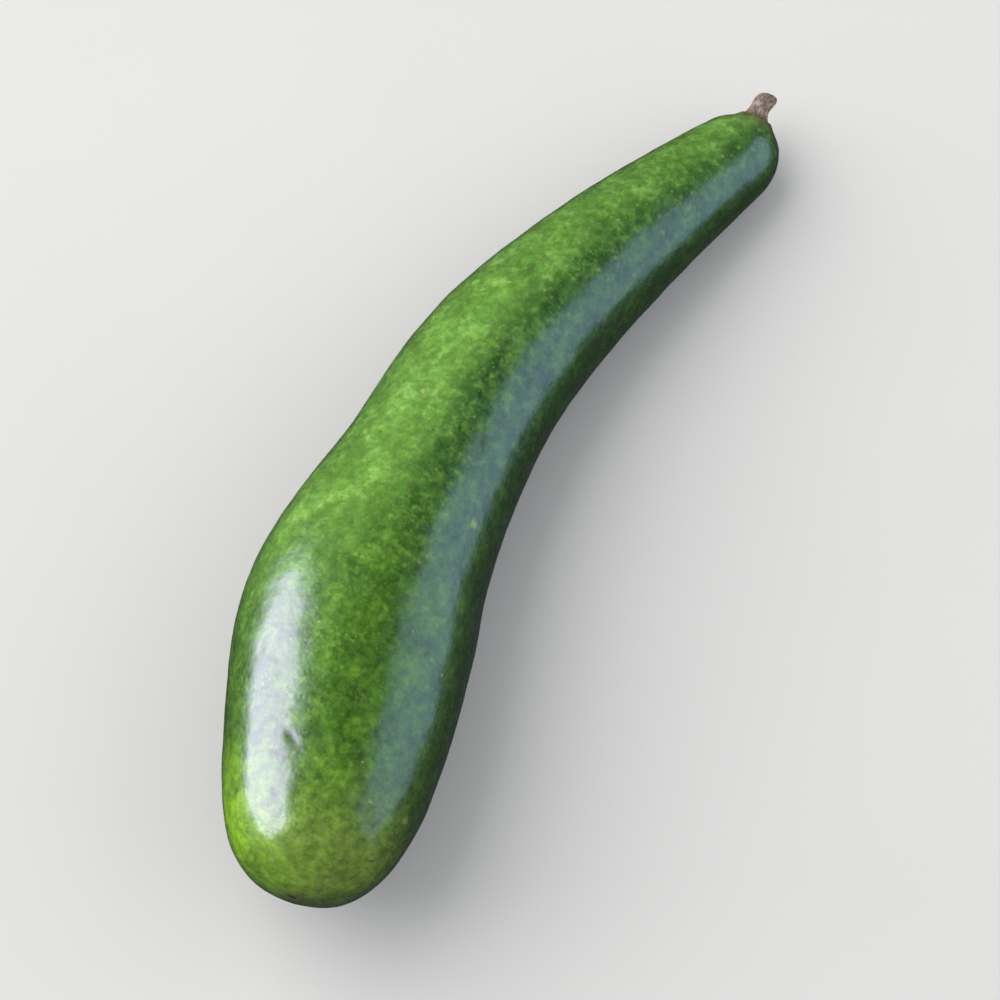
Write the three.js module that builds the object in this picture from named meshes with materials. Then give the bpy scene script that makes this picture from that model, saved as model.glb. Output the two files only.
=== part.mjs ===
// A long-necked avocado with its short cut stem, lying on its side the way it comes to rest.
// Millimetres, +Z up. The blossom end points towards -Y and the stem end towards +Y.
// The origin is on the floor, under the middle of the fruit and stem together.

import * as THREE from 'three';
import { NURBSCurve } from 'three/addons/curves/NURBSCurve.js';
import { mergeVertices } from 'three/addons/utils/BufferGeometryUtils.js';

// Sections that steer the fruit's bent middle line and its girth, from blossom end to stem end.
const SECTIONS = [
  { across: 21, along: -157, height: 41.5, radius: 42 },
  { across: 11.5, along: -113, height: 38.5, radius: 33.5 },
  { across: -11, along: -69.5, height: 36.5, radius: 41.5 },
  { across: -9.5, along: -19, height: 32, radius: 25 },
  { across: -17, along: 46, height: 26.2, radius: 27.5 },
  { across: 24.5, along: 148, height: 13, radius: 12.8 },
];

// Rounding of the two ends: how far it reaches along the fruit, and how full it is.
const BLOSSOM_CAP = { reach: 98, fullness: 2.4 };
const STEM_CAP = { reach: 16, fullness: 2.1 };

// The skin rises and falls a little, as grown skin does.
const UNEVEN_HEIGHT = 0.35;

// Depth pressed flat where the bulb and the neck touch the floor.
const REST_DEPTH = 0.8;

// The stem leaves the neck at a slant and stands on a small flat seat.
const STEM_DIRECTION = new THREE.Vector3(-0.12, 1, 0.22).normalize();
const STEM_SEAT_DEPTH = 0.6;
const STEM_GAP = 0.3;
const STEM_BEND = { across: 1.8, up: 0.6 };

// Side of the stem, from its foot to its rounded head: radius, height.
const STEM_SIDE = [
  [4.1, 0],
  [4.2, 0.7],
  [3.6, 2.0],
  [3.2, 3.8],
  [3.4, 5.8],
  [3.5, 7.2],
  [2.9, 8.5],
  [1.5, 9.2],
];

const STEPS_AROUND = 56;
const STEPS_ALONG = 64;
const SPINE_SAMPLES = 400;

function smoothCurve(points) {
  const degree = 3;
  const spans = points.length - degree;
  const knots = [];
  for (let i = 0; i < points.length + degree + 1; i += 1) {
    knots.push(THREE.MathUtils.clamp(i - degree, 0, spans) / spans);
  }
  return new NURBSCurve(degree, knots, points);
}

// The middle line and girth, sampled with the distance walked from the blossom end.
function sampleSpine() {
  const middle = smoothCurve(SECTIONS.map((s) => new THREE.Vector4(s.across, s.along, s.height, 1)));
  const girth = smoothCurve(SECTIONS.map((s) => new THREE.Vector4(s.radius, 0, 0, 1)));
  const samples = [];
  let walked = 0;
  for (let i = 0; i <= SPINE_SAMPLES; i += 1) {
    const point = middle.getPoint(i / SPINE_SAMPLES);
    if (i > 0) {
      walked += Math.hypot(point.x - samples[i - 1].point.x, point.y - samples[i - 1].point.y);
    }
    samples.push({ point, radius: girth.getPoint(i / SPINE_SAMPLES).x, walked });
  }
  return samples;
}

function spineAt(samples, distance) {
  let i = 1;
  while (i < SPINE_SAMPLES && samples[i].walked < distance) {
    i += 1;
  }
  const before = samples[i - 1];
  const after = samples[i];
  const share = THREE.MathUtils.clamp((distance - before.walked) / (after.walked - before.walked), 0, 1);
  return {
    point: before.point.clone().lerp(after.point, share),
    tangent: after.point.clone().sub(before.point).normalize(),
    radius: THREE.MathUtils.lerp(before.radius, after.radius, share),
  };
}

// Share of the full girth at a distance from an end, for a rounded cap.
function capShare(distance, cap) {
  const inside = Math.max(0, 1 - distance / cap.reach);
  return Math.max(0, 1 - inside ** cap.fullness) ** (1 / cap.fullness);
}

function unevenness(around, distance) {
  const long = Math.sin(2 * around + distance / 31) * Math.sin(distance / 47 + 0.6);
  const short = Math.sin(5 * around - distance / 17) * Math.sin(distance / 23 + 1.1);
  return UNEVEN_HEIGHT * (long + 0.45 * short);
}

// A sphere is stretched along the bent middle line and given the girth at each distance.
function makeSkin() {
  const samples = sampleSpine();
  const length = samples[SPINE_SAMPLES].walked;
  const up = new THREE.Vector3(0, 0, 1);
  const skin = new THREE.SphereGeometry(1, STEPS_AROUND, STEPS_ALONG);
  const position = skin.attributes.position;
  const vertex = new THREE.Vector3();
  for (let i = 0; i < position.count; i += 1) {
    vertex.fromBufferAttribute(position, i);
    const distance = (length * (1 + THREE.MathUtils.clamp(vertex.y, -1, 1))) / 2;
    const around = Math.atan2(vertex.z, vertex.x);
    const spine = spineAt(samples, distance);
    const side = spine.tangent.clone().cross(up).normalize();
    const over = side.clone().cross(spine.tangent);
    const cap = capShare(distance, BLOSSOM_CAP) * capShare(length - distance, STEM_CAP);
    const reach = (spine.radius + unevenness(around, distance)) * cap;
    vertex.copy(spine.point);
    vertex.addScaledVector(side, reach * Math.cos(around));
    vertex.addScaledVector(over, reach * Math.sin(around));
    position.setXYZ(i, vertex.x, vertex.y, vertex.z);
  }
  return skin;
}

// Everything past a plane is pressed back onto it, which leaves a small flat spot.
function pressFlat(geometry, direction, depth) {
  const position = geometry.attributes.position;
  const vertex = new THREE.Vector3();
  let furthest = -Infinity;
  for (let i = 0; i < position.count; i += 1) {
    furthest = Math.max(furthest, vertex.fromBufferAttribute(position, i).dot(direction));
  }
  const plane = furthest - depth;
  const touched = new THREE.Vector3();
  for (let i = 0; i < position.count; i += 1) {
    vertex.fromBufferAttribute(position, i);
    const past = vertex.dot(direction) - plane;
    if (past >= depth - 1e-6) {
      touched.copy(vertex).addScaledVector(direction, -past);
    }
    if (past > 0) {
      vertex.addScaledVector(direction, -past);
      position.setXYZ(i, vertex.x, vertex.y, vertex.z);
    }
  }
  return touched;
}

// A peg with a spread foot and a knobbly head, which leans further over as it rises.
function makeStem(seat) {
  const side = new THREE.SplineCurve(STEM_SIDE.map(([radius, height]) => new THREE.Vector2(radius, height)));
  const profile = side.getPoints(18);
  const last = STEM_SIDE[STEM_SIDE.length - 1];
  profile.unshift(new THREE.Vector2(0, 0));
  profile.push(new THREE.Vector2(0, last[1] + 0.25));
  const stem = new THREE.LatheGeometry(profile, 36);
  const position = stem.attributes.position;
  for (let i = 0; i < position.count; i += 1) {
    const x = position.getX(i);
    const y = position.getY(i);
    const z = position.getZ(i);
    const share = y / last[1];
    const around = Math.atan2(z, x);
    const swell = 1 + 0.05 * share * Math.sin(3 * around + 0.8) + 0.03 * share * Math.sin(5 * around);
    const lean = share * share;
    position.setXYZ(i, x * swell + STEM_BEND.across * lean, y, z * swell + STEM_BEND.up * lean);
  }
  const upright = new THREE.Vector3(0, 1, 0);
  stem.applyQuaternion(new THREE.Quaternion().setFromUnitVectors(upright, STEM_DIRECTION));
  const foot = seat.clone().addScaledVector(STEM_DIRECTION, STEM_GAP);
  stem.translate(foot.x, foot.y, foot.z);
  return stem;
}

// Joined vertices and outward normals make each body one closed solid.
function closeSolid(geometry) {
  geometry.deleteAttribute('uv');
  geometry.deleteAttribute('normal');
  const solid = mergeVertices(geometry, 1e-3);
  solid.computeVertexNormals();
  return solid;
}

const skin = makeSkin();
const seat = pressFlat(skin, STEM_DIRECTION, STEM_SEAT_DEPTH);
pressFlat(skin, new THREE.Vector3(0, 0, -1), REST_DEPTH);
const fruitSolid = closeSolid(skin);
const stemSolid = closeSolid(makeStem(seat));

// The pair is moved together so its box stands on the floor around the origin.
fruitSolid.computeBoundingBox();
stemSolid.computeBoundingBox();
const box = fruitSolid.boundingBox.clone().union(stemSolid.boundingBox);
const middle = box.getCenter(new THREE.Vector3());
fruitSolid.translate(-middle.x, -middle.y, -box.min.z);
stemSolid.translate(-middle.x, -middle.y, -box.min.z);

const fruit = new THREE.Mesh(
  fruitSolid,
  new THREE.MeshStandardMaterial({ color: 0x4b8a2c, roughness: 0.34, metalness: 0 }),
);
fruit.name = 'fruit';

const stem = new THREE.Mesh(
  stemSolid,
  new THREE.MeshStandardMaterial({ color: 0x7d7263, roughness: 0.85, metalness: 0 }),
);
stem.name = 'stem';

const avocado = new THREE.Group();
avocado.name = 'avocado';
avocado.add(fruit, stem);

export default avocado;
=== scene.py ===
import math

import bmesh
import bpy
import numpy as np
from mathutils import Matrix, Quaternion, Vector, noise


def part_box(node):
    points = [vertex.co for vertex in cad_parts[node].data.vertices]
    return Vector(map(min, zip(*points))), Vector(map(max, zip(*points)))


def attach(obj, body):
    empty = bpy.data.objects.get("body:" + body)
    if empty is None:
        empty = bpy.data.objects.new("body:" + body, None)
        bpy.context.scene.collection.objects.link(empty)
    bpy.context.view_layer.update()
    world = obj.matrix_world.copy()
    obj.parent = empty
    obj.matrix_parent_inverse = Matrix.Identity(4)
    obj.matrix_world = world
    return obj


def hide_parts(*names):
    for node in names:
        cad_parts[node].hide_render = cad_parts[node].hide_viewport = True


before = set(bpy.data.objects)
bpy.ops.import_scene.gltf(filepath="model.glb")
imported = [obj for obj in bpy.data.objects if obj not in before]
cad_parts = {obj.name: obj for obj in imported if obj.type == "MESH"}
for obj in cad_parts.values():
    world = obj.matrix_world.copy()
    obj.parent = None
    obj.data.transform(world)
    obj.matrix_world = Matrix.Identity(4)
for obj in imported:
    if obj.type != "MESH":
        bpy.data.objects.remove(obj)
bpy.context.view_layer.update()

# A long-necked avocado with a short cut stem. The two shapes are worked out in millimetres and made
# as meshes in metres. Lights, floor and camera are placed in metres.
MM = 0.001

# Sections that steer the bent middle line and the girth: across, along, height, radius.
SECTIONS = np.array([
    (21.0, -157.0, 41.5, 42.0),
    (11.5, -113.0, 38.5, 33.5),
    (-11.0, -69.5, 36.5, 41.5),
    (-9.5, -19.0, 32.0, 25.0),
    (-17.0, 46.0, 26.2, 27.5),
    (24.5, 148.0, 13.0, 12.8),
])
CURVE_DEGREE, CURVE_END_GAP = 3, 1e-9
BLOSSOM_REACH, BLOSSOM_FULLNESS = 98.0, 2.4
STEM_REACH, STEM_FULLNESS = 16.0, 2.1
REST_DEPTH = 0.8

# Two slow waves keep the girth from being even: turns round, drift, beat along, start.
UNEVEN_HEIGHT, SHORT_WAVE_SHARE = 0.35, 0.45
LONG_WAVE = (2, 31.0, 47.0, 0.6)
SHORT_WAVE = (5, -17.0, 23.0, 1.1)

RINGS, COLUMNS = 420, 216
LINE_SAMPLES, PROFILE_SAMPLES = 4001, 6001

# Swells on the skin: height, size across, place in the noise. Pebbles are the finest of it.
SWELLS = [(0.26, 24.0, 0.0), (0.15, 11.0, 3.1), (0.09, 5.5, 7.7)]
PEBBLE_HEIGHT, PEBBLE_SIZE, PEBBLE_LEVEL = 0.075, 3.1, 0.45

# Round the stem the skin is calmer, with a puckered collar, a shallow dip and fine creases.
NEAR_SEAT_HEIGHT, FAR_AWAY = -14.0, 50.0
CALM_INNER, CALM_OUTER, CALM_SHARE = 3.0, 12.0, 0.35
FOLDS, FOLD_SWAY, FOLD_HEIGHT = 9, 1.3, 0.30
COLLAR_RADIUS, COLLAR_WIDTH, COLLAR_HEIGHT = 5.2, 1.4, 0.55
DIP_RADIUS, DIP_WIDTH, DIP_DEPTH = 9.0, 2.2, 0.30
CREASE_RADIUS, CREASE_WIDTH, CREASE_HEIGHT = 8.0, 4.0, 0.12
COLLAR_COLOUR_RADIUS = 8.2

# Short shallow scuffs from handling: distance along, angle around, slant, length, depth.
SCUFFS = [
    (63.0, 124.0, 60.0, 2.6, 0.24), (66.0, 132.0, 20.0, 2.2, 0.18), (39.0, 107.0, 40.0, 3.6, 0.28),
    (22.0, 113.0, 30.0, 2.6, 0.20), (34.0, 116.0, 75.0, 2.0, 0.16), (150.0, 60.0, 25.0, 3.0, 0.18),
    (45.0, 150.0, 50.0, 3.0, 0.18), (88.0, -60.0, 15.0, 4.0, 0.22), (60.0, -110.0, 40.0, 3.4, 0.20),
    (180.0, -120.0, 70.0, 3.0, 0.18), (240.0, -40.0, 20.0, 2.4, 0.15), (120.0, 175.0, 55.0, 3.2, 0.18),
]
SCUFF_HALF_WIDTH = 1.1

# The blossom end sinks a little round its small dry scar.
DIMPLE_DEPTH, DIMPLE_SIZE = 0.75, 4.6
SCAR_HEIGHT, SCAR_SIZE, SCAR_COLOUR_SIZE = 0.55, 1.5, 2.9
NEAR_BLOSSOM_RING = 12

# Yellow and tanned places at the blossom end: strength, distance along, degrees around, size.
RIPE_PLACES = [(1.0, 16.0, 158.0, 17.0), (0.5, 5.0, 125.0, 13.0)]
TANNED_PLACES = [(1.0, 7.0, 75.0, 19.0), (0.6, 14.0, 40.0, 16.0)]
MM_PER_RADIAN = 30.0
# Painted light and painted shade: the skin is painted paler on the side that faces this angle around, and
# darker away from it.
PAINTED_LIGHT_DEGREES = 128.0

# The stem leans out of its seat. Its side is a list of radius and height.
STEM_DIRECTION = Vector((-0.12, 1.0, 0.22)).normalized()
STEM_SEAT_DEPTH, STEM_GAP = 0.6, 0.3
STEM_LEAN_ACROSS, STEM_LEAN_UP = 1.8, 0.6
STEM_FOOT = [(3.6, -0.9)]
STEM_SIDE = [(4.1, 0.0), (4.2, 0.7), (3.6, 2.0), (3.2, 3.8), (3.4, 5.8), (3.5, 7.2), (2.9, 8.5), (1.5, 9.2)]
STEM_DISH = [(0.9, 9.15), (0.35, 8.95)]
STEM_HEIGHT, STEM_DISH_DEPTH = 9.2, 0.15
STEM_RINGS, STEM_COLUMNS, STEM_SAMPLES = 84, 120, 400

# The bark's waves as height share, turns and start, then what is raised or cut into it.
STEM_WAVES = [(0.05, 3, 0.8), (0.03, 5, 0.0)]
FIBRE_HEIGHT, FIBRE_SIZE, FIBRE_STRETCH = 0.10, 0.75, 0.18
KNOB_HEIGHT, KNOB_SIZE = 0.28, 2.4
CRACK_DEPTH, CRACK_SIZE, CRACK_STRETCH, CRACK_WIDTH, CRACK_COLOUR_WIDTH = 0.16, 1.5, 0.35, 0.08, 0.10
TOP_SHARE, TOP_HEIGHT, TOP_SIZE = 0.93, 0.22, 1.1
SMALLEST_RADIUS = 0.6

# The photograph looks down on the fruit from this side, with the neck to the upper right.
VIEW_AZIMUTH, VIEW_ELEVATION = 29.0, 70.0
VIEW_DISTANCE, VIEW_LENS, SENSOR_WIDTH = 1.03, 118.0, 36.0
MIDDLE_HEIGHT, AIM_RIGHT, AIM_ABOVE = 0.030, 0.004, -0.017
FARTHEST_SEEN = 50.0
FLOOR_SIZE = 12.0

# Soft panels: name, azimuth off +X, elevation, distance, width, height, roll, shape, radiance, tint,
# and whether it is seen in the gloss or lights the body colour. A window stands on the left and a
# wide sky on the right, and each has a larger and weaker panel round it for a soft edge.
PANELS = [
    ("window_gloss", 208, 23, 1.1, 1.36, 1.00, 38, "ELLIPSE", 5.2, (0.76, 0.62, 1.0), True),
    ("window_glow", 203, 25, 1.1, 1.80, 1.38, 38, "ELLIPSE", 1.3, (0.72, 0.82, 1.0), True),
    ("sky_gloss", 30, 14, 1.4, 1.80, 1.25, -28, "RECTANGLE", 0.88, (0.43, 0.60, 1.0), True),
    ("sky_glow", 30, 15, 1.4, 2.05, 1.60, -28, "ELLIPSE", 0.38, (0.50, 0.70, 1.0), True),
    ("window_body", 185, 48, 2.6, 3.25, 3.00, 0, "RECTANGLE", 1.9, (1.0, 0.99, 0.96), False),
    ("sky_body", 30, 34, 2.6, 3.00, 2.15, 0, "RECTANGLE", 0.6, (0.90, 0.95, 1.0), False),
]

# The room as the camera sees it, as it lights the body colour, and as it shows in the gloss.
ROOM_SEEN = ((0.86, 0.87, 0.88, 1.0), 0.85)
ROOM_LIGHT = ((0.97, 0.98, 1.0, 1.0), 0.50)
ROOM_MIRRORED = ((0.85, 0.92, 1.0, 1.0), 0.05)


def smooth_curve(points, place):
    """Clamped cubic B-spline steered by the points, at places from 0, its start, to 1, its end."""
    spans = len(points) - CURVE_DEGREE
    knots = np.clip(np.arange(len(points) + CURVE_DEGREE + 1) - CURVE_DEGREE, 0, spans) / spans
    place = np.clip(place, 0.0, 1.0 - CURVE_END_GAP)
    basis = [((low <= place) & (place < high)).astype(float) for low, high in zip(knots, knots[1:])]
    for degree in range(1, CURVE_DEGREE + 1):
        raised = []
        for i in range(len(basis) - 1):
            left = knots[i + degree] - knots[i]
            right = knots[i + degree + 1] - knots[i + 1]
            rising = (place - knots[i]) / left * basis[i] if left > 0 else 0.0
            falling = (knots[i + degree + 1] - place) / right * basis[i + 1] if right > 0 else 0.0
            raised.append(rising + falling)
        basis = raised
    return np.stack(basis, 1) @ points


def cap_share(distance, reach, fullness):
    """Share of the girth near an end: 0 at the end, 1 from the reach on."""
    inside = np.clip(1.0 - distance / reach, 0.0, None)
    return np.clip(1.0 - inside ** fullness, 0.0, None) ** (1.0 / fullness)


def smooth_step(low, high, value):
    share = np.clip((value - low) / (high - low), 0.0, 1.0)
    return share * share * (3.0 - 2.0 * share)


def ridge(distance, at, width):
    """A soft ridge, 1 high at one distance and 0 away from it."""
    return np.exp(-((distance - at) / width) ** 2)


def walked_length(line):
    """Length walked along a line of points, at each point."""
    steps = np.linalg.norm(np.diff(line, axis=0), axis=1)
    return np.concatenate([[0.0], np.cumsum(steps)])


def column_values(at, known, columns):
    """Each column of values, read off at other places along the known ones."""
    return np.stack([np.interp(at, known, column) for column in columns.T], 1)


def press_flat(points, direction, depth):
    """Presses what lies past a plane back onto it, and returns where that plane is first met."""
    reach = points @ direction
    touched = points[reach.argmax()] - direction * depth
    past = np.clip(reach - (reach.max() - depth), 0.0, None)
    points -= past[..., None] * direction
    return touched


def grid_faces(rings, columns, first_pole, last_pole):
    """Quads between the rings, and a fan of triangles at each pole."""
    faces = []
    pairs = [(column, (column + 1) % columns) for column in range(columns)]
    for ring in range(rings - 1):
        near, far = ring * columns, (ring + 1) * columns
        for here, after in pairs:
            faces.append((near + here, near + after, far + after, far + here))
    last = (rings - 1) * columns
    for here, after in pairs:
        faces.append((first_pole, after, here))
        faces.append((last_pole, last + here, last + after))
    return faces


def add_mesh(name, points, faces):
    """A smooth-shaded object from points in millimetres, with its faces turned outward."""
    mesh = bpy.data.meshes.new(name)
    mesh.from_pydata([tuple(point) for point in points * MM], [], faces)
    mesh.validate()
    work = bmesh.new()
    work.from_mesh(mesh)
    bmesh.ops.recalc_face_normals(work, faces=work.faces)
    work.to_mesh(mesh)
    work.free()
    mesh.shade_smooth()
    made = bpy.data.objects.new(name, mesh)
    bpy.context.collection.objects.link(made)
    return made


def add_values(piece, name, values, at_first_pole, at_last_pole):
    """Gives each point of a piece a value that its material reads by name."""
    layer = piece.data.attributes.new(name, "FLOAT", "POINT")
    layer.data.foreach_set("value", np.append(values, (at_first_pole, at_last_pole)).astype(np.float32))


def noise_at(points, size, place=0.0):
    """Soft noise from -1 to 1 whose lumps are about this many millimetres across."""
    shift = Vector((place, place * 0.7, -place))
    return np.array([noise.noise(Vector(point) / size + shift) for point in points])


def cells_at(points, size):
    """Distance to the nearest of scattered points, as a share of their spacing."""
    return np.array([noise.voronoi(Vector(point) / size)[0][0] for point in points])


# The skin

def slow_wave(angle, far, turns, drift, beat, start):
    """A wave that winds round the fruit, and comes and goes along it."""
    return np.sin(turns * angle + far / drift) * np.sin(far / beat + start)


def skin_grid():
    """Base skin points by ring and column, with the distance along and the angle around of each."""
    line = smooth_curve(SECTIONS, np.linspace(0.0, 1.0, LINE_SAMPLES))
    middle, girth = line[:, :3], line[:, 3]
    walked = walked_length(middle[:, :2])
    length = walked[-1]

    def caps(along):
        at_blossom = cap_share(along, BLOSSOM_REACH, BLOSSOM_FULLNESS)
        return at_blossom * cap_share(length - along, STEM_REACH, STEM_FULLNESS)

    # Rings are spread evenly over the profile, ends included.
    along = length * (1.0 - np.cos(np.linspace(0.0, math.pi, PROFILE_SAMPLES))) / 2.0
    profile = np.interp(along, walked, girth) * caps(along)
    over_skin = walked_length(np.stack([along, profile], 1))
    distance = np.interp(np.linspace(0.0, over_skin[-1], RINGS + 2), over_skin, along)
    centre = column_values(distance, walked, middle)
    tangent = column_values(distance, walked, np.gradient(middle, walked, axis=0))
    tangent /= np.linalg.norm(tangent, axis=1)[:, None]
    side = np.cross(tangent, (0.0, 0.0, 1.0))
    side /= np.linalg.norm(side, axis=1)[:, None]
    over = np.cross(side, tangent)

    around = np.linspace(-math.pi, math.pi, COLUMNS, endpoint=False)
    angle, far = np.meshgrid(around, distance)
    uneven = slow_wave(angle, far, *LONG_WAVE) + SHORT_WAVE_SHARE * slow_wave(angle, far, *SHORT_WAVE)
    radius = np.interp(distance, walked, girth)[:, None] + UNEVEN_HEIGHT * uneven
    reach = (radius * caps(distance)[:, None])[..., None]
    across = np.cos(angle)[..., None] * side[:, None] + np.sin(angle)[..., None] * over[:, None]
    return centre[:, None] + reach * across, far, angle, length


grid, grid_far, grid_angle, fruit_length = skin_grid()
stem_axis = np.array(STEM_DIRECTION)
flat = grid.reshape(-1, 3)
seat = press_flat(flat, stem_axis, STEM_SEAT_DEPTH)
press_flat(flat, np.array((0.0, 0.0, -1.0)), REST_DEPTH)

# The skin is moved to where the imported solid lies.
solid_low, solid_high = (np.array(corner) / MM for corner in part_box("fruit"))
move = (solid_low + solid_high) / 2 - (flat.min(0) + flat.max(0)) / 2
move[2] = solid_low[2] - flat[:, 2].min()
grid = flat.reshape(grid.shape) + move
seat = seat + move

blossom_pole = grid[0].mean(0)
stem_pole = grid[-1].mean(0)
rings = grid[1:-1]
far = grid_far[1:-1].ravel()
angle = grid_angle[1:-1].ravel()

# Outward directions from the neighbours in the grid.
run_along = np.gradient(rings, axis=0)
run_around = np.roll(rings, -1, 1) - np.roll(rings, 1, 1)
outward = np.cross(run_around, run_along)
outward /= np.linalg.norm(outward, axis=2)[..., None]
half_way = RINGS // 2
if outward[half_way, 0] @ (rings[half_way, 0] - rings[half_way].mean(0)) < 0:
    outward = -outward
points = rings.reshape(-1, 3)
outward = outward.reshape(-1, 3)

# Distances from the stem's axis and from the blossom end; what isn't by the seat counts as far away.
from_seat = points - seat
height_over_seat = from_seat @ stem_axis
from_axis = np.linalg.norm(from_seat - height_over_seat[:, None] * stem_axis, axis=1)
from_stem = from_axis + np.where(height_over_seat > NEAR_SEAT_HEIGHT, 0.0, FAR_AWAY)
from_blossom = np.linalg.norm(points - blossom_pole, axis=1)

relief = PEBBLE_HEIGHT * (PEBBLE_LEVEL - cells_at(points, PEBBLE_SIZE))
for swell_height, swell_size, place in SWELLS:
    relief += swell_height * noise_at(points, swell_size, place)
relief *= CALM_SHARE + (1.0 - CALM_SHARE) * smooth_step(CALM_INNER, CALM_OUTER, from_stem)

across_axis = np.cross(stem_axis, (0.0, 0.0, 1.0))
across_axis /= np.linalg.norm(across_axis)
up_axis = np.cross(across_axis, stem_axis)
turn = np.arctan2(from_seat @ up_axis, from_seat @ across_axis)
folds = 0.5 + 0.5 * np.sin(FOLDS * turn + FOLD_SWAY * np.sin(2 * turn))
relief += ridge(from_stem, COLLAR_RADIUS, COLLAR_WIDTH) * (COLLAR_HEIGHT + FOLD_HEIGHT * folds)
relief -= ridge(from_stem, DIP_RADIUS, DIP_WIDTH) * DIP_DEPTH
relief += ridge(from_stem, CREASE_RADIUS, CREASE_WIDTH) * CREASE_HEIGHT * (folds - 0.5)


def turn_from(degrees_around):
    """The angle in radians from one place around to each skin point, the short way round."""
    return np.angle(np.exp(1j * (angle - math.radians(degrees_around))))


scuffs = np.zeros(len(points))
girth_at = np.linalg.norm(points - rings.mean(1).repeat(COLUMNS, 0), axis=1)
for distance_along, degrees_around, slant, length, depth in SCUFFS:
    ahead = far - distance_along
    beside = turn_from(degrees_around) * girth_at
    slope = math.radians(slant)
    down = ahead * math.cos(slope) + beside * math.sin(slope)
    over = beside * math.cos(slope) - ahead * math.sin(slope)
    mark = ridge(down, 0.0, length) * ridge(over, 0.0, SCUFF_HALF_WIDTH)
    relief -= depth * mark
    scuffs = np.maximum(scuffs, mark)

relief -= DIMPLE_DEPTH * ridge(from_blossom, 0.0, DIMPLE_SIZE)
relief += SCAR_HEIGHT * ridge(from_blossom, 0.0, SCAR_SIZE)

points = points + outward * relief[:, None]
points[:, 2] = np.maximum(points[:, 2], solid_low[2])
blossom_out = blossom_pole - grid[NEAR_BLOSSOM_RING].mean(0)
blossom_out /= np.linalg.norm(blossom_out)
blossom_pole = blossom_pole + blossom_out * (SCAR_HEIGHT - DIMPLE_DEPTH)

skin_points = np.vstack([points, blossom_pole, stem_pole])
skin_faces = grid_faces(RINGS, COLUMNS, len(points), len(points) + 1)
fruit_skin = add_mesh("fruit_skin", skin_points, skin_faces)


def covered(places):
    """How far these coloured places cover each skin point, from 0 to 1."""
    total = np.zeros(len(points))
    for strength, distance_along, degrees_around, size in places:
        apart = ((far - distance_along) / MM_PER_RADIAN) ** 2 + turn_from(degrees_around) ** 2
        spot = points[np.argmin(apart)]
        total += strength * ridge(np.linalg.norm(points - spot, axis=1), 0.0, size)
    return np.clip(total, 0.0, 1.0)


ripe, tanned = covered(RIPE_PLACES), covered(TANNED_PLACES)
# Painted light and painted shade: 1 on the side that faces the window, 0 on the far side.
painted_light_side = 0.5 + 0.5 * np.cos(angle - math.radians(PAINTED_LIGHT_DEGREES))
by_stem = np.exp(-(from_stem / COLLAR_COLOUR_RADIUS) ** 4)
by_blossom = ridge(from_blossom, 0.0, SCAR_COLOUR_SIZE)
add_values(fruit_skin, "along", far / fruit_length, 0.0, 1.0)
add_values(fruit_skin, "ripe", ripe, ripe[0], 0.0)
add_values(fruit_skin, "tanned", tanned, tanned[0], 0.0)
add_values(fruit_skin, "painted_light_side", painted_light_side, 0.5, 0.5)
add_values(fruit_skin, "by_stem", by_stem, 0.0, 1.0)
add_values(fruit_skin, "by_blossom", by_blossom, 1.0, 0.0)
add_values(fruit_skin, "scuff", scuffs, 0.0, 0.0)


# The stem

def stem_profile():
    """The stem's side as radius and height, evenly spread, with its dished top."""
    keys = np.array(STEM_FOOT + STEM_SIDE + STEM_DISH)
    place = np.linspace(0, len(keys) - 1, STEM_SAMPLES)
    key = np.clip(place.astype(int), 0, len(keys) - 2)
    past = (place - key)[:, None]
    before, here = keys[np.maximum(key - 1, 0)], keys[key]
    after, beyond = keys[key + 1], keys[np.minimum(key + 2, len(keys) - 1)]

    # A Catmull-Rom curve, which runs through every key.
    line = 2 * here + (after - before) * past
    line = line + (2 * before - 5 * here + 4 * after - beyond) * past ** 2
    line = (line + (3 * here - before - 3 * after + beyond) * past ** 3) / 2
    walked = walked_length(line)
    return column_values(np.linspace(0, walked[-1], STEM_RINGS), walked, line)


profile = stem_profile()
stem_turn = np.linspace(0, 2 * math.pi, STEM_COLUMNS, endpoint=False)
local = np.stack([
    np.outer(profile[:, 0], np.cos(stem_turn)),
    np.repeat(profile[:, 1][:, None], STEM_COLUMNS, 1),
    np.outer(profile[:, 0], np.sin(stem_turn)),
], 2).reshape(-1, 3)
up_share = np.clip(local[:, 1] / STEM_HEIGHT, 0, 1)
local_turn = np.arctan2(local[:, 2], local[:, 0])

fibres = noise_at(local * (1.0, FIBRE_STRETCH, 1.0), FIBRE_SIZE, 2.0)
knobs = noise_at(local, KNOB_SIZE, 5.0)
cracks = np.abs(noise_at(local * (1.0, CRACK_STRETCH, 1.0), CRACK_SIZE, 9.0))
rough = FIBRE_HEIGHT * fibres + KNOB_HEIGHT * knobs * up_share
rough -= CRACK_DEPTH * ridge(cracks, 0.0, CRACK_WIDTH)

sideways = local * (1.0, 0.0, 1.0)
radial = np.linalg.norm(sideways, axis=1)
widen = rough / np.maximum(radial, SMALLEST_RADIUS)
for share, turns, start in STEM_WAVES:
    widen += share * up_share * np.sin(turns * local_turn + start)
local += sideways * widen[:, None]
local[:, 1] += np.where(up_share > TOP_SHARE, TOP_HEIGHT * noise_at(local, TOP_SIZE, 4.0), 0.0)
local[:, 0] += STEM_LEAN_ACROSS * up_share ** 2
local[:, 2] += STEM_LEAN_UP * up_share ** 2

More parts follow.
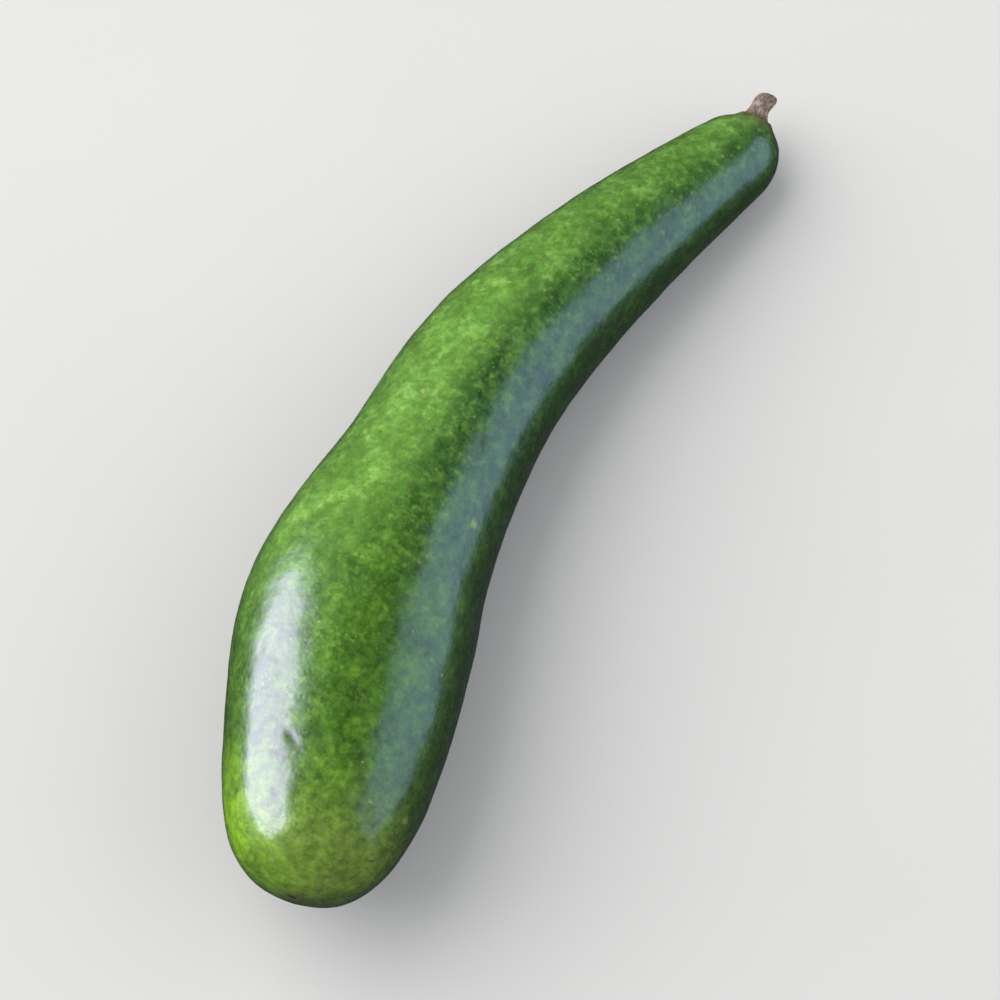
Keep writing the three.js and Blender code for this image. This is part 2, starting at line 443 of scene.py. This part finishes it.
turn_to_axis = Vector((0, 1, 0)).rotation_difference(STEM_DIRECTION).to_matrix()
stem_points = local @ np.array(turn_to_axis).T + seat + stem_axis * STEM_GAP
low_pole = stem_points[:STEM_COLUMNS].mean(0)
top_pole = stem_points[-STEM_COLUMNS:].mean(0) - stem_axis * STEM_DISH_DEPTH
stem_faces = grid_faces(STEM_RINGS, STEM_COLUMNS, len(stem_points), len(stem_points) + 1)
stem_bark = add_mesh("stem_bark", np.vstack([stem_points, low_pole, top_pole]), stem_faces)
add_values(stem_bark, "height", up_share, 0.0, 1.0)
add_values(stem_bark, "crack", ridge(cracks, 0.0, CRACK_COLOUR_WIDTH), 0.0, 0.0)


# Materials

# A dot's least size and strength as a share of the most, the share of it that is solid, and the soft
# edge of the chance that keeps it. Bump heights are in millimetres.
LEAST_DOT, DOT_CORE, KEPT_EDGE = 0.4, 0.35, 0.02
SKIN_BUMP_HEIGHT, BARK_BUMP_HEIGHT = 0.46, 0.40


class Nodes:
    """Short calls for building one material's node tree."""

    def __init__(self, name):
        self.material = bpy.data.materials.new(name)
        self.material.use_nodes = True
        self.tree = self.material.node_tree
        self.tree.nodes.clear()

    def link(self, value, socket):
        """Links a node's output to a socket, or sets the socket to a plain value."""
        if isinstance(value, bpy.types.NodeSocket):
            self.tree.links.new(value, socket)
        else:
            socket.default_value = value

    def node(self, kind, inputs, **settings):
        made = self.tree.nodes.new(kind)
        for key, value in settings.items():
            setattr(made, key, value)
        for key, value in inputs.items():
            self.link(value, made.inputs[key])
        return made

    def add(self, kind, inputs, **settings):
        return self.node(kind, inputs, **settings).outputs[0]

    def value(self, name):
        """A value that the mesh carries at each point."""
        made = self.node("ShaderNodeAttribute", {}, attribute_name=name, attribute_type="GEOMETRY")
        return made.outputs["Fac"]

    def math(self, operation, first, second, third=0.0, clamp=False):
        inputs = {0: first, 1: second, 2: third}
        return self.add("ShaderNodeMath", inputs, operation=operation, use_clamp=clamp)

    def times(self, first, second):
        return self.math("MULTIPLY", first, second)

    def plus(self, first, second):
        return self.math("ADD", first, second)

    def spread(self, share, width, start):
        """A share from 0 to 1, spread over a width from a start."""
        return self.math("MULTIPLY_ADD", share, width, start)

    def step(self, value, low, high, to_low=0.0, to_high=1.0):
        """A soft step, from to_low where the value is low, to to_high where it is high."""
        inputs = {0: value, 1: low, 2: high, 3: to_low, 4: to_high}
        return self.add("ShaderNodeMapRange", inputs, interpolation_type="SMOOTHSTEP")

    def blend(self, share, first, second, how="MIX"):
        """A colour between two. This node's colours are its inputs 6 and 7 and its output 2."""
        made = self.tree.nodes.new("ShaderNodeMix")
        made.data_type = "RGBA"
        made.blend_type = how
        self.link(share, made.inputs[0])
        self.link(first, made.inputs[6])
        self.link(second, made.inputs[7])
        return made.outputs[2]

    def noise(self, where, scale, detail=4.0, roughness=0.55, warp=0.0):
        inputs = {"Vector": where, "Scale": scale, "Detail": detail}
        inputs.update({"Roughness": roughness, "Distortion": warp})
        return self.add("ShaderNodeTexNoise", inputs)

    def cells(self, where, scale):
        return self.add("ShaderNodeTexVoronoi", {"Vector": where, "Scale": scale})

    def bump(self, height, strength, distance):
        """A surface direction bent by a height of 0 to 1 over a distance in millimetres."""
        inputs = {"Strength": strength, "Distance": distance * MM, "Height": height}
        return self.add("ShaderNodeBump", inputs)

    def where(self, stretch=(1.0, 1.0, 1.0)):
        """The place on the object in millimetres, so every noise and cell scale is per millimetre."""
        spot = self.node("ShaderNodeTexCoord", {}).outputs["Object"]
        scale = tuple(share / MM for share in stretch)
        return self.add("ShaderNodeVectorMath", {0: spot, 1: scale}, operation="MULTIPLY")

    def finish(self, linked, even):
        """Ends the material in one shader. What is even all over is set on the shader's own sockets."""
        shader = self.node("ShaderNodeBsdfPrincipled", linked)
        for name, value in even.items():
            shader.inputs[name].default_value = value
        self.node("ShaderNodeOutputMaterial", {"Surface": shader.outputs[0]})
        return self.material


def colour(red, green, blue):
    """A colour given as it looks on screen, from 0 to 255, as linear light."""
    def linear(part):
        # The standard curve of screen colours.
        part /= 255.0
        return part / 12.92 if part <= 0.04045 else ((part + 0.055) / 1.055) ** 2.4
    return (linear(red), linear(green), linear(blue), 1.0)


BULB_GREENS = (colour(56, 100, 12), colour(72, 120, 20), colour(92, 140, 32))
NECK_GREENS = (colour(46, 90, 30), colour(62, 108, 42), colour(86, 134, 58))
# Painted light: the pale greens of the side that faces the window.
PAINTED_LIGHT_GREENS = (colour(121, 178, 70), colour(150, 205, 95))
# Painted shade: the dark green of the side away from the window.
PAINTED_SHADE_GREEN = colour(33, 67, 13)
RIPE_YELLOW = colour(150, 208, 4)
TANNED_GREEN = colour(136, 168, 64)
COLLAR_BROWN = colour(92, 80, 50)
# The flecks and dots, with their painted-shade colours for the side away from the window.
FLECK, PAINTED_SHADE_FLECK = colour(126, 170, 60), colour(58, 92, 32)
DOT, PAINTED_SHADE_DOT = colour(146, 188, 84), colour(72, 104, 44)
PORE = colour(34, 66, 14)
CORK = colour(182, 190, 104)
SCUFFED = colour(70, 84, 52)
SCAR_EDGE, SCAR_MIDDLE = colour(118, 108, 66), colour(60, 56, 34)
BARK_BROWNS = (colour(108, 90, 76), colour(186, 165, 149))
BARK_PALE, BARK_DARK, BARK_FOOT = colour(212, 192, 180), colour(84, 76, 60), colour(94, 92, 58)
BARK_TOP, BARK_CRACK = colour(74, 62, 50), colour(44, 36, 26)
FLOOR_TONES = ((0.80, 0.795, 0.785, 1.0), (0.81, 0.805, 0.795, 1.0))


class SkinNodes(Nodes):
    """The skin's layers, one function for each, and the noises and values that they share."""

    def __init__(self):
        super().__init__("avocado_skin")
        self.place = self.where()
        self.patchy = self.noise(self.place, 0.11, 5.0, 0.62, 0.4)
        self.mottle = self.noise(self.place, 0.34, 4.0, 0.6, 0.3)
        self.grain = self.noise(self.place, 0.95, 3.0, 0.6)
        self.ragged = self.times(self.math("SUBTRACT", self.grain, 0.5), 0.26)

        # Steps from the dark hollows to the middle green, and from there to the lighter rises.
        streak = self.noise(self.where((1.0, 0.45, 1.0)), 0.22, 4.0, 0.6)
        ground = self.plus(self.times(self.patchy, 0.40), self.times(self.mottle, 0.36))
        ground = self.plus(ground, self.times(streak, 0.24))
        self.from_dark, self.to_light = self.step(ground, 0.40, 0.50), self.step(ground, 0.50, 0.60)

        # Where the places and marks are, each with its edge broken up.
        self.along, self.painted_light_side = self.value("along"), self.value("painted_light_side")
        self.scar = self.value("by_blossom")
        # Painted shade on the side away from the window.
        self.painted_shade = self.step(self.painted_light_side, 0.58, 0.28, 0.0, 0.85)
        collar_share = self.step(self.mottle, 0.30, 0.62, 0.80, 1.15)
        self.collar = self.math("MULTIPLY", self.value("by_stem"), collar_share, clamp=True)
        self.scuff = self.times(self.value("scuff"), self.step(self.grain, 0.36, 0.60, 0.3, 0.9))
        self.pore = self.dots(2.4, 0.55, 0.6, 71.0)
        self.cork = self.math("MAXIMUM", self.dots(13.0, 2.0, 0.5, 11.0), self.dots(6.0, 0.7, 0.25, 23.0))

    def dots(self, spacing, radius, keep, start=0.0):
        """Scattered dots of mixed size and strength; spacing and radius are in millimetres."""
        shift = (start, -start, 0.6 * start)
        moved = self.add("ShaderNodeVectorMath", {0: self.place, 1: shift}, operation="ADD")
        scatter = self.node("ShaderNodeTexVoronoi", {"Vector": moved, "Scale": 1.0 / spacing})
        split = self.node("ShaderNodeSeparateColor", {0: scatter.outputs["Color"]})
        size, chance, strength = split.outputs[0], split.outputs[1], split.outputs[2]
        reach = self.times(self.spread(size, 1.0 - LEAST_DOT, LEAST_DOT), radius / spacing)
        away = self.plus(scatter.outputs["Distance"], self.ragged)
        inside = self.step(self.math("DIVIDE", away, reach), 1.0, DOT_CORE)
        kept = self.step(chance, 1.0 - keep, 1.0 - keep + KEPT_EDGE)
        strong = self.spread(strength, 1.0 - LEAST_DOT, LEAST_DOT)
        return self.times(self.times(inside, kept), strong)

    def three_greens(self, dark, middle, light):
        return self.blend(self.to_light, self.blend(self.from_dark, dark, middle), light)

    def green_body(self):
        """A green that is cooler on the neck, with painted light making the side towards the window paler
        and painted shade making the far side darker.
        """
        bulb, neck = self.three_greens(*BULB_GREENS), self.three_greens(*NECK_GREENS)
        body = self.blend(self.step(self.along, 0.24, 0.50), bulb, neck)

        # The painted light is strongest where the bulb turns into the neck.
        broad = self.noise(self.place, 0.035, 3.0, 0.55)
        painted_light = self.times(self.step(self.painted_light_side, 0.80, 0.99), self.step(broad, 0.30, 0.60, 0.55, 0.95))
        painted_light = self.times(painted_light, self.step(self.along, 0.20, 0.36, 0.06, 0.92))
        painted_light = self.times(painted_light, self.step(self.along, 0.55, 0.80, 1.0, 0.56))
        body = self.blend(painted_light, body, self.blend(self.to_light, *PAINTED_LIGHT_GREENS))
        return self.blend(self.painted_shade, body, PAINTED_SHADE_GREEN)

    def coloured_ends(self, body):
        """Yellow and tanned places at the blossom end, and olive-brown skin round the stem."""
        ripe = self.times(self.value("ripe"), self.step(self.patchy, 0.34, 0.60, 0.30, 0.95))
        body = self.blend(ripe, body, RIPE_YELLOW)
        tanned = self.times(self.value("tanned"), self.step(self.mottle, 0.32, 0.60, 0.38, 0.88))
        body = self.blend(tanned, body, TANNED_GREEN)
        return self.blend(self.collar, body, COLLAR_BROWN)

    def flecks_and_dots(self, body):
        """Soft flecks that run together, and scattered pale dots with a few dark pores between them."""
        crowd = self.step(self.noise(self.place, 0.075, 2.0, 0.5), 0.34, 0.62, 0.40, 1.0)
        crowd = self.times(crowd, self.step(self.collar, 0.2, 0.9, 1.0, 0.25))

        # They are fainter between the side with painted light and the side with painted shade.
        clear = self.math("MAXIMUM", self.step(self.painted_light_side, 0.60, 0.92), self.step(self.painted_light_side, 0.45, 0.20))
        fleck = self.step(self.noise(self.place, 0.36, 2.5, 0.6, 0.5), 0.50, 0.62)
        fleck = self.times(fleck, self.times(crowd, self.spread(clear, 0.22, 0.18)))
        dot = self.math("MAXIMUM", self.dots(2.4, 1.10, 0.9), self.dots(1.4, 0.52, 0.6, 37.0))
        dot = self.times(dot, self.times(crowd, self.spread(clear, 0.36, 0.26)))
        # Painted shade darkens the flecks and dots on the side away from the window.
        body = self.blend(fleck, body, self.blend(self.painted_shade, FLECK, PAINTED_SHADE_FLECK))
        body = self.blend(dot, body, self.blend(self.painted_shade, DOT, PAINTED_SHADE_DOT))
        return self.blend(self.times(self.pore, 0.50), body, PORE)

    def blotches(self, body):
        """Light and dark blotches of a few millimetres, all over, and painted shade that darkens the skin
        away from the side facing the window.
        """
        blotch = self.noise(self.place, 0.33, 3.0, 0.6, 0.4)
        tone = self.step(blotch, 0.36, 0.64, 0.84, 1.17)
        tone = self.plus(tone, self.step(self.grain, 0.34, 0.66, -0.07, 0.07))
        tone = self.times(tone, self.step(self.patchy, 0.36, 0.64, 0.90, 1.10))
        # Painted shade: darker away from the side that faces the window.
        tone = self.times(tone, self.step(self.painted_light_side, 0.86, 0.60, 1.0, 0.80))
        tint = self.add("ShaderNodeCombineColor", {0: tone, 1: tone, 2: self.times(tone, 0.94)})
        return self.blend(1.0, body, tint, "MULTIPLY")

    def marks(self, body):
        """A few dry corky spots, the scuffs, and the blossom scar."""
        body = self.blend(self.times(self.cork, 0.75), body, CORK)
        body = self.blend(self.scuff, body, SCUFFED)
        dry = self.plus(self.scar, self.times(self.ragged, 0.8))
        body = self.blend(self.step(dry, 0.30, 0.55), body, SCAR_EDGE)
        return self.blend(self.step(dry, 0.66, 0.84), body, SCAR_MIDDLE)

    def dullness(self):
        """The wax is glossy, and duller where it is rubbed, corky, scuffed or dry."""
        rubbed = self.step(self.noise(self.place, 0.13, 3.0, 0.6, 0.8), 0.54, 0.66, 0.0, 0.12)
        dull = self.plus(self.spread(self.mottle, 0.16, 0.19), rubbed)
        for spots, share in ((self.cork, 0.35), (self.scuff, 0.30), (self.collar, 0.22)):
            dull = self.plus(dull, self.times(spots, share))
        return self.math("ADD", dull, self.times(self.scar, 0.30), clamp=True)

    def fine_relief(self):
        """Relief finer than the mesh holds."""
        fine = self.plus(self.times(self.cells(self.place, 0.62), -0.50), self.times(self.grain, 0.45))
        for spots, share in ((self.mottle, 0.9), (self.cork, 0.5), (self.pore, -0.35)):
            fine = self.plus(fine, self.times(spots, share))
        return self.bump(fine, 0.48, SKIN_BUMP_HEIGHT)


def skin_material():
    skin = SkinNodes()
    body = skin.coloured_ends(skin.green_body())
    body = skin.marks(skin.blotches(skin.flecks_and_dots(body)))
    return skin.finish(
        {"Base Color": body, "Roughness": skin.dullness(), "Normal": skin.fine_relief()},
        {"IOR": 1.5, "Coat Weight": 1.0, "Coat IOR": 1.7, "Coat Roughness": 0.20},
    )


def stem_material():
    bark = Nodes("dry_stem")
    where = bark.where()
    fibre = bark.noise(bark.where((1.0, 0.22, 1.0)), 1.9, 4.0, 0.65)
    blotch = bark.noise(where, 0.38, 4.0, 0.6)
    grit = bark.noise(where, 4.2, 2.0, 0.6)
    height = bark.value("height")
    body = bark.blend(bark.step(fibre, 0.34, 0.64), *BARK_BROWNS)
    body = bark.blend(bark.step(blotch, 0.50, 0.66, 0.0, 0.6), body, BARK_PALE)
    body = bark.blend(bark.step(blotch, 0.46, 0.34, 0.0, 0.55), body, BARK_DARK)
    body = bark.blend(bark.step(height, 0.32, 0.0, 0.0, 0.75), body, BARK_FOOT)
    body = bark.blend(bark.times(bark.step(height, TOP_SHARE, 0.99), 0.6), body, BARK_TOP)
    body = bark.blend(bark.times(bark.value("crack"), 0.6), body, BARK_CRACK)
    relief = bark.plus(fibre, bark.times(grit, 0.4))
    linked = {
        "Base Color": body,
        "Roughness": bark.step(fibre, 0.3, 0.7, 0.62, 0.88),
        "Normal": bark.bump(relief, 0.7, BARK_BUMP_HEIGHT),
    }
    return bark.finish(linked, {"IOR": 1.45})


def floor_material():
    ground = Nodes("pale_floor")
    tone = ground.noise(ground.where(), 0.01, 2.0, 0.5)
    body = ground.blend(ground.step(tone, 0.3, 0.7), *FLOOR_TONES)
    return ground.finish({"Base Color": body}, {"Roughness": 0.9, "Specular IOR Level": 0.0})


fruit_skin.data.materials.append(skin_material())
stem_bark.data.materials.append(stem_material())

for piece, node, slot in ((fruit_skin, "fruit", "skin"), (stem_bark, "stem", "stem")):
    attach(piece, "root")
    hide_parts(node)


# Floor, lights and camera

bpy.ops.mesh.primitive_plane_add(size=FLOOR_SIZE, location=(0, 0, 0))
floor = bpy.context.object
floor.name = "floor"
floor.data.materials.append(floor_material())
floor.visible_glossy = False

tilt, turn_by = math.radians(VIEW_ELEVATION), math.radians(VIEW_AZIMUTH)
back = Vector((math.sin(turn_by) * math.cos(tilt), -math.cos(turn_by) * math.cos(tilt), math.sin(tilt)))
right = Vector((math.cos(turn_by), math.sin(turn_by), 0))
above = back.cross(right)
middle = Vector((0.0, 0.0, MIDDLE_HEIGHT))
aim = middle + right * AIM_RIGHT + above * AIM_ABOVE


def panel(name, azimuth, elevation, distance, width, height, roll, shape, radiance, tint, glossy):
    """A soft panel, aimed at the fruit, that lights either its gloss or its body colour."""
    across, up = math.radians(azimuth), math.radians(elevation)
    towards = Vector((math.cos(across) * math.cos(up), math.sin(across) * math.cos(up), math.sin(up)))
    data = bpy.data.lights.new(name, "AREA")
    data.shape = shape
    data.size, data.size_y = width, height
    filled = math.pi / 4 if shape == "ELLIPSE" else 1.0
    data.energy = radiance * math.pi * width * height * filled
    data.color = tint
    lamp = bpy.data.objects.new(name, data)
    bpy.context.collection.objects.link(lamp)
    lamp.location = middle + towards * distance
    lamp.rotation_mode = "QUATERNION"
    lamp.rotation_quaternion = towards.to_track_quat("Z", "Y") @ Quaternion((0, 0, 1), math.radians(roll))
    lamp.visible_glossy = glossy
    lamp.visible_diffuse = not glossy
    lamp.visible_camera = False


for settings in PANELS:
    panel(*settings)

world = bpy.data.worlds.new("soft_room")
bpy.context.scene.world = world
world.use_nodes = True
room = world.node_tree
room.nodes.clear()


def background(tint, strength):
    made = room.nodes.new("ShaderNodeBackground")
    made.inputs[0].default_value = tint
    made.inputs[1].default_value = strength
    return made.outputs[0]


def either(share, usual, other):
    """The usual shader, or the other one where the share is 1."""
    made = room.nodes.new("ShaderNodeMixShader")
    for place, source in enumerate((share, usual, other)):
        room.links.new(source, made.inputs[place])
    return made.outputs[0]


path = room.nodes.new("ShaderNodeLightPath")
unseen = either(path.outputs["Is Glossy Ray"], background(*ROOM_LIGHT), background(*ROOM_MIRRORED))
whole = either(path.outputs["Is Camera Ray"], unseen, background(*ROOM_SEEN))
world_out = room.nodes.new("ShaderNodeOutputWorld")
room.links.new(whole, world_out.inputs[0])

camera_data = bpy.data.cameras.new("camera")
camera_data.lens = VIEW_LENS
camera_data.sensor_width = SENSOR_WIDTH
camera_data.clip_end = FARTHEST_SEEN
camera = bpy.data.objects.new("camera", camera_data)
bpy.context.collection.objects.link(camera)
camera.location = aim + back * VIEW_DISTANCE
camera.rotation_mode = "QUATERNION"
camera.rotation_quaternion = (-back).to_track_quat("-Z", "Y")
bpy.context.scene.camera = camera

look = bpy.context.scene.view_settings
look.view_transform = "Standard"
look.look = "None"
look.exposure = 0.0
